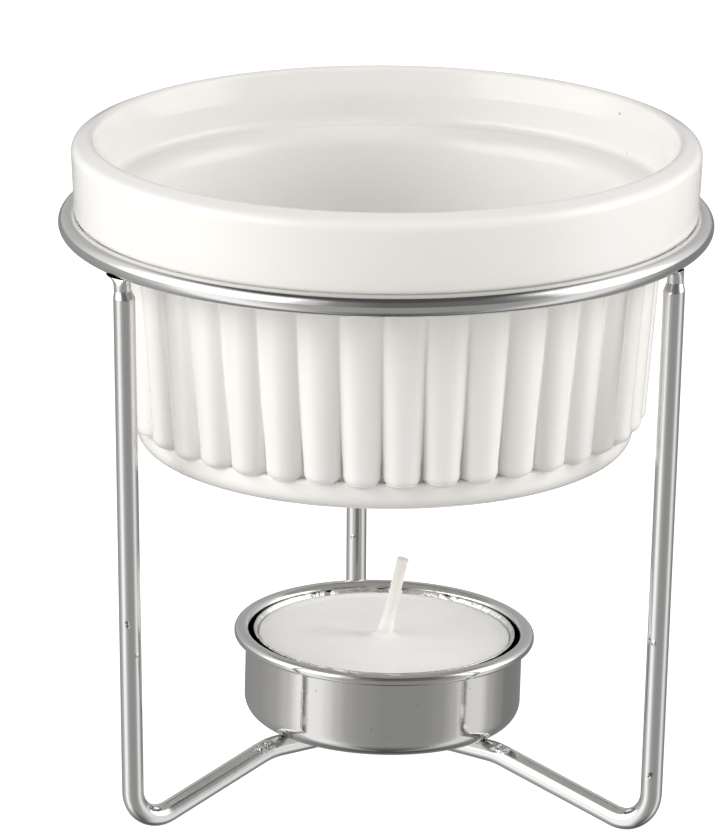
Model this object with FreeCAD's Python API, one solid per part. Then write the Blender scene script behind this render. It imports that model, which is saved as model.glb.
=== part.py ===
import FreeCAD, Part
import math
import os

# Butter warmer: a reeded porcelain ramekin hangs by its band in a wire stand,
# over a tealight in a small drawn tray. Millimetres and degrees, +Z up.
# The origin is on the table, under the centre of the hoop. The back leg is at +Y.

# Wire stand
wire_diameter = 3.1
hoop_outer_diameter = 94.0
hoop_height = 84.0
leg_bend_radius = 4.75
arm_elbow_radius = 10.0
arm_end_radius = 9.0

# Azimuth of each leg's weld and foot. The stand is welded by hand, so they differ.
left_weld_azimuth = 211.6
left_foot_azimuth = 211.5
right_weld_azimuth = 327.8
right_foot_azimuth = 320.7
back_weld_azimuth = 90.0
back_foot_azimuth = 90.0

# How far the corner of each foot stands out past the hoop's wire
left_foot_outset = -1.3
right_foot_outset = 1.05
back_foot_outset = -0.45

# Weld between the top end of a leg and the hoop
neck_diameter = 2.4
neck_length = 2.3
wire_end_taper = 0.5
weld_flare_width = 4.4
weld_flare_height = 1.3
weld_flare_depth = 0.9

# Drawn tray for the tealight
tray_side_gap = 0.75
tray_sheet = 0.5
tray_floor_height = 8.85
tray_height = 13.35
tray_corner_radius = 2.8
tray_rim_overhang = 1.72
tray_rim_height = 1.5
tray_rim_radius = 0.8
tray_rim_return = 0.7
tray_lean = 1.2
tray_low_side = 355.0

# Tealight
tealight_diameter = 38.0
tealight_height = 12.4
tealight_foil = 0.3
tealight_corner_radius = 1.8
tealight_lip_width = 0.4
tealight_lip_height = 0.7
tealight_clearance = 0.02
wax_below_rim = 0.9
wax_meniscus_height = 0.35
wax_meniscus_width = 1.2
wax_collar_height = 0.9
wax_collar_wall = 0.35
wax_collar_spread = 0.5
wick_diameter = 1.8
wick_height = 11.9
wick_lean = 11.5
wick_lean_towards = 355.0
wick_bend_radius = 4.0
tab_diameter = 12.0
tab_thickness = 0.4
tab_neck_diameter = 3.2
tab_neck_height = 4.0

# Ramekin
ramekin_height = 45.0
band_height = 11.7
band_inside_hoop = 0.75
band_flare = 0.45
band_overhang = 5.0
band_corner_radius = 1.5
band_fillet_radius = 1.6
wall_taper = 4.9
base_height = 4.2
base_ledge = 1.2
base_edge_radius = 0.55
base_corner_radius = 2.4
foot_ring_width = 3.0
foot_ring_height = 0.8
seat_clearance = 0.02

# Lip and inside of the ramekin
lip_fall = 1.0
lip_outer_radius = 1.6
lip_width = 3.3
crown_width = 0.9
crown_radius = 1.2
lip_inner_radius = 0.8
bevel_depth = 3.95
bevel_width = 1.0
bevel_radius = 2.0
step_depth = 8.15
step_taper = 0.1
step_fillet_radius = 1.2
step_width = 3.95
step_fall = 0.5
shoulder_radius = 3.5
bowl_taper = 5.3
floor_thickness = 3.8
floor_fillet_radius = 7.0

# Reeds on the wall
reed_count = 40
reed_phase = 7.8
reed_top_radius = 4.8
reed_bottom_radius = 2.7
reed_proud_at_top = 0.35
reed_proud_at_bottom = 3.1
reed_end_height = 3.6
reed_root_depth = 1.0

# Sizes that follow
wire_radius = wire_diameter / 2
hoop_radius = hoop_outer_diameter / 2 - wire_radius
tray_wall_radius = tealight_diameter / 2 + tray_side_gap + tray_sheet
tray_rim_outer = tray_wall_radius + tray_rim_overhang
tray_rim_top = tray_floor_height + tray_height
band_bottom_radius = hoop_radius - band_inside_hoop
rim_radius = band_bottom_radius + band_flare
wall_top_radius = band_bottom_radius - band_overhang
wall_bottom_radius = wall_top_radius - wall_taper
base_radius = wall_bottom_radius + base_ledge

# Each leg: name, azimuth of its weld and of its foot, and how far out the foot's corner is
LEGS = (
    ("leg_left", left_weld_azimuth, left_foot_azimuth, hoop_radius + left_foot_outset),
    ("leg_right", right_weld_azimuth, right_foot_azimuth, hoop_radius + right_foot_outset),
    ("leg_back", back_weld_azimuth, back_foot_azimuth, hoop_radius + back_foot_outset),
)

Z_AXIS = FreeCAD.Vector(0, 0, 1)
ORIGIN = FreeCAD.Vector(0, 0, 0)


def polar(radius, azimuth, height):
    """Point at a distance from the axis, an azimuth and a height."""
    angle = math.radians(azimuth)
    return FreeCAD.Vector(radius * math.cos(angle), radius * math.sin(angle), height)


def unit(vector):
    """Copy of a vector with length 1."""
    copy = FreeCAD.Vector(vector)
    return copy.normalize()


def bend(before, corner, after, radius):
    """Arc of a given radius that rounds a corner, as (start, middle, end, centre)."""
    back = unit(before - corner)
    ahead = unit(after - corner)
    half_angle = back.getAngle(ahead) / 2
    run = radius / math.tan(half_angle)
    middle_line = unit(back + ahead)
    centre = corner + middle_line * (radius / math.sin(half_angle))
    return corner + back * run, centre - middle_line * radius, corner + ahead * run, centre


def rounded_edges(corners, closed):
    """Straight runs joined by tangent arcs through (point, radius) corners."""
    count = len(corners)
    pieces = []
    for index, (point, radius) in enumerate(corners):
        is_end = not closed and index in (0, count - 1)
        if radius == 0 or is_end:
            pieces.append((point, None, point))
            continue
        before = corners[index - 1][0]
        after = corners[(index + 1) % count][0]
        start, middle, end, _ = bend(before, point, after, radius)
        pieces.append((start, middle, end))
    edges = []
    for index, (start, middle, end) in enumerate(pieces):
        if middle is not None:
            edges.append(Part.Arc(start, middle, end).toShape())
        if closed or index < count - 1:
            following = pieces[(index + 1) % count][0]
            edges.append(Part.LineSegment(end, following).toShape())
    return edges


def profile_corner(radius_from_axis, height, rounding=0):
    """Corner of a half section, in the plane through the axis."""
    return FreeCAD.Vector(radius_from_axis, 0, height), rounding


def turned(edges):
    """Solid turned about the vertical axis from the edges of a half section."""
    face = Part.Face(Part.Wire(edges))
    return face.revolve(ORIGIN, Z_AXIS, 360)


def piped(path_edges, radius):
    """Round wire that follows a path."""
    path = Part.Wire(path_edges)
    start = path_edges[0].valueAt(path_edges[0].FirstParameter)
    direction = path_edges[0].tangentAt(path_edges[0].FirstParameter)
    section = Part.Wire(Part.makeCircle(radius, start, direction))
    return path.makePipeShell([section], True, False)


# Wire stand


def tray_underside(radius, azimuth):
    """Height of the leaning tray's underside at a place in plan."""
    downhill = radius * math.cos(math.radians(azimuth - tray_low_side))
    return tray_floor_height - downhill * math.tan(math.radians(tray_lean))


def arm_point(radius, azimuth):
    """Point of an arm's centreline that lies against the tray's underside."""
    drop = wire_radius / math.cos(math.radians(tray_lean))
    return polar(radius, azimuth, tray_underside(radius, azimuth) - drop)


def leg_corners(weld_azimuth, foot_azimuth, foot_radius):
    """Centreline corners of a leg: hoop, foot, elbow and end under the tray.

    The foot's corner is lowered until the bend just touches the table."""
    weld = polar(hoop_radius, weld_azimuth, hoop_height)
    elbow = arm_point(tray_wall_radius, foot_azimuth)
    end = arm_point(arm_end_radius, foot_azimuth)
    foot = polar(foot_radius, foot_azimuth, 0)
    for _ in range(6):
        _, _, _, centre = bend(weld, foot, elbow, leg_bend_radius)
        plane_normal = unit((weld - foot).cross(elbow - foot))
        steepness = math.sqrt(1 - plane_normal.z ** 2)
        lowest = centre.z - leg_bend_radius * steepness
        foot.z += wire_radius - lowest
    return weld, foot, elbow, end


def weld_neck(weld, foot):
    """Neck, flare and tapered wire end between the hoop and a leg."""
    end_depth = wire_radius + neck_length
    full_depth = end_depth + wire_end_taper
    neck_top = weld_flare_depth + weld_flare_height
    neck_radius = neck_diameter / 2
    shape = turned(rounded_edges([
        profile_corner(0, -weld_flare_depth),
        profile_corner(weld_flare_width / 2, -weld_flare_depth),
        profile_corner(neck_radius, -neck_top, weld_flare_height / 2),
        profile_corner(neck_radius, -end_depth),
        profile_corner(wire_radius, -full_depth),
        profile_corner(wire_radius, -full_depth - wire_radius),
        profile_corner(0, -full_depth - wire_radius),
    ], True))
    # The flare runs along the hoop and is no wider than the wire across it
    length = full_depth + wire_diameter
    slab = Part.makeBox(wire_diameter, 2 * weld_flare_width, length)
    slab.translate(FreeCAD.Vector(-wire_radius, -weld_flare_width, -length))
    shape = shape.common(slab)
    outward = math.degrees(math.atan2(weld.y, weld.x))
    shape.rotate(ORIGIN, Z_AXIS, outward)
    lean = FreeCAD.Rotation(Z_AXIS, weld - foot)
    shape.Placement = FreeCAD.Placement(weld, lean).multiply(shape.Placement)
    return shape


def make_hoop():
    """Closed wire hoop that the ramekin's band rests on."""
    centre = FreeCAD.Vector(0, 0, hoop_height)
    return Part.makeTorus(hoop_radius, wire_radius, centre, Z_AXIS)


def make_leg(weld_azimuth, foot_azimuth, foot_radius, hoop):
    """Bent wire leg with its arm under the tray, butt welded under the hoop."""
    weld, foot, elbow, end = leg_corners(weld_azimuth, foot_azimuth, foot_radius)
    down = unit(foot - weld)
    start = weld + down * (wire_diameter + neck_length + wire_end_taper)
    path = rounded_edges([
        (start, 0),
        (foot, leg_bend_radius),
        (elbow, arm_elbow_radius),
        (end, 0),
    ], False)
    leg = piped(path, wire_radius).fuse(weld_neck(weld, foot))
    return leg.cut(hoop).removeSplitter()


# Tray and tealight, built upright and leaned together


def leaned(shape):
    """The tray's lean, about the middle of its underside."""
    pivot = FreeCAD.Vector(0, 0, tray_floor_height)
    hinge = polar(1, tray_low_side + 90, 0)
    return shape.rotated(pivot, hinge, tray_lean)


def make_tray():
    """Drawn sheet cup with its rim turned out, down and back in."""
    floor_top = tray_floor_height + tray_sheet
    inner_wall = tray_wall_radius - tray_sheet
    return_end = tray_rim_outer - tray_rim_return
    return_bottom = tray_rim_top - tray_rim_height
    inside_bend = tray_rim_radius - tray_sheet
    return leaned(turned(rounded_edges([
        profile_corner(0, floor_top),
        profile_corner(inner_wall, floor_top, tray_corner_radius - tray_sheet),
        profile_corner(inner_wall, tray_rim_top, tray_rim_radius),
        profile_corner(tray_rim_outer, tray_rim_top, tray_rim_radius),
        profile_corner(tray_rim_outer, return_bottom, tray_sheet),
        profile_corner(return_end, return_bottom),
        profile_corner(return_end, return_bottom + tray_sheet),
        profile_corner(tray_rim_outer - tray_sheet, return_bottom + tray_sheet),
        profile_corner(tray_rim_outer - tray_sheet, tray_rim_top - tray_sheet, inside_bend),
        profile_corner(tray_wall_radius, tray_rim_top - tray_sheet, inside_bend),
        profile_corner(tray_wall_radius, tray_floor_height, tray_corner_radius),
        profile_corner(0, tray_floor_height),
    ], True)))


foil_outer = tealight_diameter / 2 - tealight_lip_width
foil_inner = foil_outer - tealight_foil


def tealight_seat():
    """Height above the tray's floor where the tealight's round corner meets the tray's."""
    inner_corner = tray_corner_radius - tray_sheet
    tray_centre = tray_wall_radius - tray_corner_radius
    sideways = foil_outer - tealight_corner_radius - tray_centre
    apart = inner_corner - tealight_corner_radius - tealight_clearance
    if sideways <= 0:
        return tealight_clearance
    return apart + tealight_clearance - math.sqrt(apart ** 2 - sideways ** 2)


tealight_bottom = tray_floor_height + tray_sheet + tealight_seat()
tealight_rim = tealight_bottom + tealight_height
tealight_floor = tealight_bottom + tealight_foil
wax_top = tealight_rim - wax_below_rim


def make_tealight_shell():
    """Thin foil cup with a small lip turned outwards."""
    lip_bottom = tealight_rim - tealight_lip_height
    return leaned(turned(rounded_edges([
        profile_corner(0, tealight_bottom),
        profile_corner(foil_outer, tealight_bottom, tealight_corner_radius),
        profile_corner(foil_outer, lip_bottom, tealight_foil),
        profile_corner(tealight_diameter / 2, lip_bottom + tealight_lip_width),
        profile_corner(tealight_diameter / 2, tealight_rim),
        profile_corner(tealight_diameter / 2 - tealight_foil, tealight_rim),
        profile_corner(foil_inner, lip_bottom),
        profile_corner(foil_inner, tealight_floor, tealight_corner_radius - tealight_foil),
        profile_corner(0, tealight_floor),
    ], True)))


def make_wick_tab():
    """Metal disc with a short neck that holds the wick under the wax."""
    top = tealight_floor + tab_thickness
    shape = turned(rounded_edges([
        profile_corner(wick_diameter / 2, tealight_floor),
        profile_corner(tab_diameter / 2, tealight_floor),
        profile_corner(tab_diameter / 2, top),
        profile_corner(tab_neck_diameter / 2, top, tab_thickness),
        profile_corner(tab_neck_diameter / 2, top + tab_neck_height),
        profile_corner(wick_diameter / 2, top + tab_neck_height),
    ], True))
    return leaned(shape)


def make_wick():
    """Wick that stands in its tab and leans to one side above the wax."""
    bottom = FreeCAD.Vector(0, 0, tealight_floor)
    turn = FreeCAD.Vector(0, 0, wax_top)
    lean = math.radians(wick_lean)
    reach = wick_height * math.tan(lean)
    tip = turn + polar(reach, wick_lean_towards, wick_height)
    path = rounded_edges([(bottom, 0), (turn, wick_bend_radius), (tip, 0)], False)
    return leaned(piped(path, wick_diameter / 2))


def make_wax(shell_pieces):
    """Wax poured round the tab and wick, drawn up at the foil and in a collar at the wick."""
    collar_radius = wick_diameter / 2 + wax_collar_wall
    shape = turned(rounded_edges([
        profile_corner(0, tealight_floor),
        profile_corner(foil_inner, tealight_floor, tealight_corner_radius - tealight_foil),
        profile_corner(foil_inner, wax_top + wax_meniscus_height),
        profile_corner(foil_inner - wax_meniscus_width, wax_top, wax_meniscus_width),
        profile_corner(collar_radius + wax_collar_spread, wax_top, wax_collar_spread),
        profile_corner(collar_radius, wax_top + wax_collar_height),
        profile_corner(0, wax_top + wax_collar_height),
    ], True))
    return leaned(shape).cut(shell_pieces)


# Ramekin

# The band's round lower corner rests on the hoop's round wire
band_draft = math.atan2(band_flare, band_height - lip_fall)
band_corner_centre = (
    band_bottom_radius
    + band_corner_radius * math.tan(band_draft)
    - band_corner_radius / math.cos(band_draft)
)
band_corner_reach = band_corner_radius + wire_radius + seat_clearance
band_bottom = (
    hoop_height
    + math.sqrt(band_corner_reach ** 2 - (hoop_radius - band_corner_centre) ** 2)
    - band_corner_radius
)
rim_height = band_bottom + band_height
ramekin_bottom = rim_height - ramekin_height
ramekin_floor = ramekin_bottom + floor_thickness
base_top = ramekin_bottom + base_height


def make_reed(wall_core):
    """One reed: a tapered bar with a ball end, rooted in the wall, cut to its own sector."""
    bottom_height = ramekin_bottom + reed_end_height + reed_bottom_radius
    bottom_centre = wall_bottom_radius + reed_proud_at_bottom - reed_bottom_radius
    top_centre = wall_top_radius + reed_proud_at_top - reed_top_radius
    bottom = FreeCAD.Vector(bottom_centre, 0, bottom_height)
    top = FreeCAD.Vector(top_centre, 0, band_bottom + band_corner_radius)
    along = top - bottom
    bar = Part.makeCone(reed_bottom_radius, reed_top_radius, along.Length, bottom, along)
    ball = Part.makeSphere(reed_bottom_radius, bottom, along)
    half_sector = math.pi / reed_count
    reach = 2 * (rim_radius + rim_height)
    sector = Part.Face(Part.makePolygon([
        ORIGIN,
        FreeCAD.Vector(reach, -reach * math.tan(half_sector), 0),
        FreeCAD.Vector(reach, reach * math.tan(half_sector), 0),
        ORIGIN,
    ])).extrude(Z_AXIS * reach)
    return bar.fuse(ball).cut(wall_core).common(sector)


def make_wall_core():
    """Cone a little inside the wall's outer face, where the reeds are rooted."""
    below = ramekin_bottom - reed_root_depth
    above = band_bottom + band_height
    slope = wall_taper / (band_bottom - base_top)

    def core_radius(height):
        return wall_bottom_radius - reed_root_depth + slope * (height - base_top)

    return Part.makeCone(
        core_radius(below), core_radius(above), above - below, FreeCAD.Vector(0, 0, below))


def make_ramekin():
    """Porcelain dish: plain band, step inside the lip, reeded wall and plain base."""
    lip_radius = rim_radius - lip_width
    bevel_bottom = lip_radius - bevel_width
    step_outer = bevel_bottom - step_taper
    step_inner = step_outer - step_width
    step_height = rim_height - step_depth
    recess = base_radius - base_corner_radius - foot_ring_width
    ramekin = turned(rounded_edges([
        profile_corner(0, ramekin_bottom + foot_ring_height),
        profile_corner(recess, ramekin_bottom + foot_ring_height),
        profile_corner(recess, ramekin_bottom),
        profile_corner(base_radius, ramekin_bottom, base_corner_radius),
        profile_corner(base_radius, base_top, base_edge_radius),
        profile_corner(wall_bottom_radius, base_top),
        profile_corner(wall_top_radius, band_bottom, band_fillet_radius),
        profile_corner(band_bottom_radius, band_bottom, band_corner_radius),
        profile_corner(rim_radius, rim_height - lip_fall, lip_outer_radius),
        profile_corner(lip_radius + crown_width, rim_height, crown_radius),
        profile_corner(lip_radius, rim_height, lip_inner_radius),
        profile_corner(bevel_bottom, rim_height - bevel_depth, bevel_radius),
        profile_corner(step_outer, step_height, step_fillet_radius),
        profile_corner(step_inner, step_height - step_fall, shoulder_radius),
        profile_corner(step_inner - bowl_taper, ramekin_floor, floor_fillet_radius),
        profile_corner(0, ramekin_floor),
    ], True))
    first = make_reed(make_wall_core())
    reeds = []
    for index in range(reed_count):
        azimuth = reed_phase + index * 360 / reed_count
        reeds.append(first.rotated(ORIGIN, Z_AXIS, azimuth))
    return ramekin.fuse(reeds).removeSplitter()


def main():
    """Builds every piece and writes one file for each."""
    hoop = make_hoop()
    shell = make_tealight_shell()
    tab = make_wick_tab()
    wick = make_wick()
    nodes = {
        "ramekin": make_ramekin(),
        "top_ring": hoop,
        "candle_tray": make_tray(),
        "tealight_shell": shell,
        "tealight_wax": make_wax([tab, wick]),
        "wick_tab": tab,
        "wick": wick,
    }
    for name, weld_azimuth, foot_azimuth, foot_radius in LEGS:
        nodes[name] = make_leg(weld_azimuth, foot_azimuth, foot_radius, hoop)
    os.makedirs("parts", exist_ok=True)
    for name, shape in nodes.items():
        box = shape.BoundBox
        print(name, "solids", len(shape.Solids), "valid", shape.isValid(),
              "volume", round(shape.Volume, 1), "z", round(box.ZMin, 3), round(box.ZMax, 3))
        shape.exportStep(f"parts/{name}.step")


main()
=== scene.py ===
"""Butter warmer: a reeded porcelain ramekin in a chrome wire stand, over a tealight in a drawn tray.

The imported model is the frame. This script builds the pieces that are seen around it, gives each its
finish and sets up the camera and a plain studio. Lengths in the classes are millimetres.
"""

import logging
import math
from dataclasses import dataclass, field
from enum import Enum

import bmesh
import bpy
import numpy as np
from mathutils import Matrix, Quaternion, Vector


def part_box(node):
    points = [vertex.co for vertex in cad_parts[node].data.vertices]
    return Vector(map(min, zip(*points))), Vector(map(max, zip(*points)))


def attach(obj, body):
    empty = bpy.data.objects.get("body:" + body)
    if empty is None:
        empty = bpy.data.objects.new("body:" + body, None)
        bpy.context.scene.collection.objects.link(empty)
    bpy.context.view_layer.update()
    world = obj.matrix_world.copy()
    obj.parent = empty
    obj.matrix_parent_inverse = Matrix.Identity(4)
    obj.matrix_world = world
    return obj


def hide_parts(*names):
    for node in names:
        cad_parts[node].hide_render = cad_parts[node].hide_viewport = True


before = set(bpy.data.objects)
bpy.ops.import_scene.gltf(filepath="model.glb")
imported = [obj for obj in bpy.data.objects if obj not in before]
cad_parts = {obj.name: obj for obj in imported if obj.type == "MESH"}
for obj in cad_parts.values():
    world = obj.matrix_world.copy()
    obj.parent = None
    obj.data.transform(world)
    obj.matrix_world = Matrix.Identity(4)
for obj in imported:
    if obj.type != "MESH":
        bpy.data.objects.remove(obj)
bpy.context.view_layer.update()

MM = 0.001
BODY = "root"
UP = Vector((0, 0, 1))
SIDEWAYS = Vector((1, 0, 0))
log = logging.getLogger("butter_warmer")

Colour = tuple[float, float, float, float]
Marks = tuple[tuple[float, float, float, float], ...]
Value = bpy.types.NodeSocket | float | tuple


# Shapes


@dataclass(frozen=True)
class Corner:
    """Corner of a rounded line: its place, its rounding and the spacing of the run after it."""

    place: Vector
    rounding: float = 0.0
    spacing: float = 2.0


def edge(out: float, height: float, rounding: float = 0.0, spacing: float = 2.0) -> Corner:
    """Corner of a half section, given by its distance from the axis and its height."""
    return Corner(Vector((out, 0, height)), rounding, spacing)


def bend(before: Vector, corner: Vector, after: Vector, radius: float) -> tuple[Vector, Vector, float]:
    """Round corner between two straight runs.

    Args:
        before, corner, after: Three corners of the line.
        radius: Radius of the bend.

    Returns:
        Centre of the bend, the direction from the corner to it, and half of the turn.
    """
    back = (before - corner).normalized()
    ahead = (after - corner).normalized()
    half_opening = back.angle(ahead) / 2
    inward = (back + ahead).normalized()
    return corner + inward * (radius / math.sin(half_opening)), inward, math.pi / 2 - half_opening


def rounded_line(corners: list[Corner], turn_step: float = 9.0) -> list[Vector]:
    """Points along straight runs joined by round corners.

    Args:
        corners: Corners in order.
        turn_step: Largest turn between two points of a bend, in degrees.

    Returns:
        The points.
    """
    bends: list[list[Vector]] = []
    for index, corner in enumerate(corners):
        if corner.rounding == 0 or index in (0, len(corners) - 1):
            bends.append([corner.place])
            continue
        before = corners[index - 1].place
        after = corners[index + 1].place
        centre, inward, half_turn = bend(before, corner.place, after, corner.rounding)
        axis = (corner.place - before).cross(after - corner.place).normalized()
        steps = max(2, math.ceil(2 * math.degrees(half_turn) / turn_step))
        turns = [half_turn * (2 * step / steps - 1) for step in range(steps + 1)]
        bends.append([centre + Quaternion(axis, turn) @ (-inward * corner.rounding) for turn in turns])
    points = list(bends[0])
    for corner, arc, last in zip(corners, bends[1:], bends):
        start, end = last[-1], arc[0]
        runs = max(1, math.ceil((end - start).length / corner.spacing))
        points += [start.lerp(end, step / runs) for step in range(1, runs)]
        points += arc
    return points


class Unevenness:
    """Smooth seeded unevenness, as a sum of waves in many directions."""

    def __init__(self, seed: int, wavelength: float, waves: int = 14) -> None:
        """Draws the waves.

        Args:
            seed: Start of the random draws.
            wavelength: Middle length of the waves.
            waves: How many waves are summed.
        """
        draws = np.random.default_rng(seed)
        directions = draws.normal(size=(waves, 3))
        directions /= np.linalg.norm(directions, axis=1, keepdims=True)
        lengths = wavelength * draws.uniform(0.65, 1.5, size=(waves, 1))
        self.waves = directions * (2 * math.pi / lengths)
        self.phases = draws.uniform(0, 2 * math.pi, waves)

    def at(self, points: np.ndarray) -> np.ndarray:
        """Height between about -1 and 1 at each of the points."""
        return np.sin(points @ self.waves.T + self.phases).sum(axis=-1) * (1.6 / len(self.phases))


def surface(name: str, points: np.ndarray, closed_rows: bool = False, lean: Matrix | None = None) -> bpy.types.Object:
    """Mesh through a grid of points whose columns run round the piece.

    Args:
        name: Name of the piece.
        points: Rows by columns by 3, in millimetres.
        closed_rows: Whether the last row joins the first.
        lean: Turn that is applied to all points.

    Returns:
        The object, smooth, with its normals outwards and a UV map of turn and length.
    """
    rows, columns, _ = points.shape
    row = np.arange(rows if closed_rows else rows - 1)
    row, column = np.meshgrid(row, np.arange(columns), indexing="ij")
    next_row, next_column = (row + 1) % rows, (column + 1) % columns
    faces = np.stack([
        row * columns + column,
        row * columns + next_column,
        next_row * columns + next_column,
        next_row * columns + column,
    ], axis=-1).reshape(-1, 4)
    flat = points.reshape(-1, 3)
    if lean is not None:
        flat = flat @ np.array(lean.to_3x3()).T + np.array(lean.translation)
    mesh = bpy.data.meshes.new(name)
    mesh.from_pydata((flat * MM).tolist(), [], faces.tolist())
    steps = np.linalg.norm(np.diff(points[:, 0], axis=0, append=points[:1, 0]), axis=1)
    length = np.concatenate([[0.0], np.cumsum(steps)])
    across = np.stack([column, column + 1, column + 1, column], axis=-1) / columns
    along = np.stack([length[row], length[row], length[row + 1], length[row + 1]], axis=-1)
    uv = np.stack([across, along], axis=-1).reshape(-1)
    mesh.uv_layers.new(name="turn_and_length").data.foreach_set("uv", uv)
    shape = bmesh.new()
    shape.from_mesh(mesh)
    bmesh.ops.remove_doubles(shape, verts=shape.verts, dist=1e-7)
    bmesh.ops.dissolve_degenerate(shape, edges=shape.edges, dist=1e-8)
    bmesh.ops.recalc_face_normals(shape, faces=shape.faces)
    shape.to_mesh(mesh)
    shape.free()
    mesh.polygons.foreach_set("use_smooth", [True] * len(mesh.polygons))
    piece = bpy.data.objects.new(name, mesh)
    bpy.context.scene.collection.objects.link(piece)
    return piece


def turned(line: list[Vector], angles: int | np.ndarray) -> np.ndarray:
    """Grid of points made by turning a half section about the axis.

    Args:
        line: The half section.
        angles: Azimuth of each column in radians, or how many even columns.

    Returns:
        The grid, one row for each point of the line.
    """
    out = np.array([point.x for point in line])[:, None]
    height = np.array([point.z for point in line])[:, None]
    if isinstance(angles, int):
        angles = np.linspace(0, 2 * math.pi, angles, endpoint=False)
    angle = angles[None, :]
    return np.stack([out * np.cos(angle), out * np.sin(angle), height + 0 * angle], axis=-1)


def swept(path: list[Vector], across: np.ndarray, sideways: np.ndarray, side: Vector, sides: int) -> np.ndarray:
    """Grid of points of an oval section that follows a path.

    Args:
        path: Centres of the sections.
        across: Half width of each section along its first direction.
        sideways: Half width along the second direction.
        side: Rough first direction at the start.
        sides: Points round the section.

    Returns:
        The grid, one row for each point of the path.
    """
    centres = np.array([point[:] for point in path])
    tangents = np.gradient(centres, axis=0)
    for index in range(1, len(path)):
        if np.linalg.norm(tangents[index]) < 1e-9:
            tangents[index] = tangents[index - 1]
    tangents /= np.linalg.norm(tangents, axis=1, keepdims=True)
    angle = np.linspace(0, 2 * math.pi, sides, endpoint=False)
    first = np.array(side[:])
    rows = []
    for centre, tangent, wide, deep in zip(centres, tangents, across, sideways):
        first = first - tangent * (first @ tangent)
        first /= np.linalg.norm(first)
        second = np.cross(tangent, first)
        rows.append(centre + np.outer(np.cos(angle) * wide, first) + np.outer(np.sin(angle) * deep, second))
    return np.array(rows)


def around(radius: float, azimuth: float, height: float) -> Vector:
    """Point at a distance from the axis, an azimuth in degrees and a height."""
    angle = math.radians(azimuth)
    return Vector((radius * math.cos(angle), radius * math.sin(angle), height))


def soft_max(first: np.ndarray, second: np.ndarray, blend: float) -> np.ndarray:
    """Larger of two heights with a hollow rounding of about the blend where they meet."""
    near = np.maximum(blend - np.abs(first - second), 0) / blend
    return np.maximum(first, second) + near * near * blend / 4


def span(node: str) -> tuple[float, float]:
    """Lowest and highest point of a CAD node, in millimetres."""
    low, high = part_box(node)
    return low[2] / MM, high[2] / MM


# Nodes


class Nodes:
    """Node tree, with a short call that makes, sets and joins a node."""

    def __init__(self, tree: bpy.types.ShaderNodeTree) -> None:
        """Keeps the tree."""
        self.tree = tree

    def feed(self, target: bpy.types.NodeSocket, value: Value) -> None:
        """Links a socket to an input, or sets the input to a number or a colour."""
        if isinstance(value, bpy.types.NodeSocket):
            self.tree.links.new(value, target)
        else:
            target.default_value = value

    def add(self, kind: str, inputs: dict[str | int, Value], **options: str) -> bpy.types.NodeOutputs:
        """Makes a node and feeds its inputs.

        Args:
            kind: Type of the node, without the ShaderNode before it.
            inputs: Socket, number or colour for each input.
            options: Properties of the node itself.

        Returns:
            The node's outputs.
        """
        node = self.tree.nodes.new("ShaderNode" + kind)
        for name, choice in options.items():
            setattr(node, name, choice)
        for name, value in inputs.items():
            self.feed(node.inputs[name], value)
        return node.outputs

    def mixed(self, factor: bpy.types.NodeSocket, first: Value, second: Value) -> bpy.types.NodeSocket:
        """Colour that goes from the first to the second with a factor."""
        return self.add("Mix", {"Factor": factor, 6: first, 7: second}, data_type="RGBA")[2]


class Shared(Enum):
    """Names of the node groups that several finishes share."""

    SPECKS = "scattered_specks"
    CLOUDS = "soft_clouds"
    LINES = "fine_lines"
    SPOT = "ragged_spot"


class Group(Nodes):
    """Shared node group with named inputs and one output."""

    def __init__(self, shared: Shared, output: str, vectors: tuple[str, ...] = ("Place",), **numbers: float) -> None:
        """Makes the group with its sockets.

        Args:
            shared: Name of the group.
            output: Name of the output.
            vectors: Names of the vector inputs.
            numbers: Default of each number that it takes.
        """
        super().__init__(bpy.data.node_groups.new(shared.value, "ShaderNodeTree"))
        for name in vectors:
            self.tree.interface.new_socket(name, in_out="INPUT", socket_type="NodeSocketVector")
        for name, default in numbers.items():
            socket = self.tree.interface.new_socket(name, in_out="INPUT", socket_type="NodeSocketFloat")
            socket.default_value = default
        self.tree.interface.new_socket(output, in_out="OUTPUT", socket_type="NodeSocketFloat")
        self.given = self.tree.nodes.new("NodeGroupInput").outputs
        self.result = self.tree.nodes.new("NodeGroupOutput").inputs[output]

    def disc(self, distance: bpy.types.NodeSocket, radius: bpy.types.NodeSocket) -> bpy.types.NodeSocket:
        """Mask that falls softly from 1 at the centre to 0 at the radius."""
        return self.add("MapRange", {
            "Value": distance, "From Min": 0.0, "From Max": radius, "To Min": 1.0, "To Max": 0.0,
        }, interpolation_type="SMOOTHSTEP")["Result"]


def build_specks() -> None:
    """Group that puts out a mask of small round specks, some of them left out at random."""
    group = Group(Shared.SPECKS, "Mask", Spacing=500.0, Size=0.2, Share=0.1)
    given = group.given
    cells = group.add("TexVoronoi", {"Vector": given["Place"], "Scale": given["Spacing"], "Randomness": 1.0})
    chance = group.add("SeparateColor", {"Color": cells["Color"]})["Red"]
    chosen = group.add("Math", {0: chance, 1: given["Share"]}, operation="LESS_THAN")["Value"]
    near = group.disc(cells["Distance"], given["Size"])
    group.feed(group.result, group.add("Math", {0: near, 1: chosen}, operation="MULTIPLY")["Value"])


def build_clouds() -> None:
    """Group that puts out soft noise between two values."""
    group = Group(Shared.CLOUDS, "Value", Scale=50.0, Low=0.0, High=1.0)
    given = group.given
    noise = group.add("TexNoise", {"Vector": given["Place"], "Scale": given["Scale"], "Detail": 3.0})["Fac"]
    group.feed(group.result, group.add("MapRange", {
        "Value": noise, "From Min": 0.3, "From Max": 0.7, "To Min": given["Low"], "To Max": given["High"],
    })["Result"])


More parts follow.
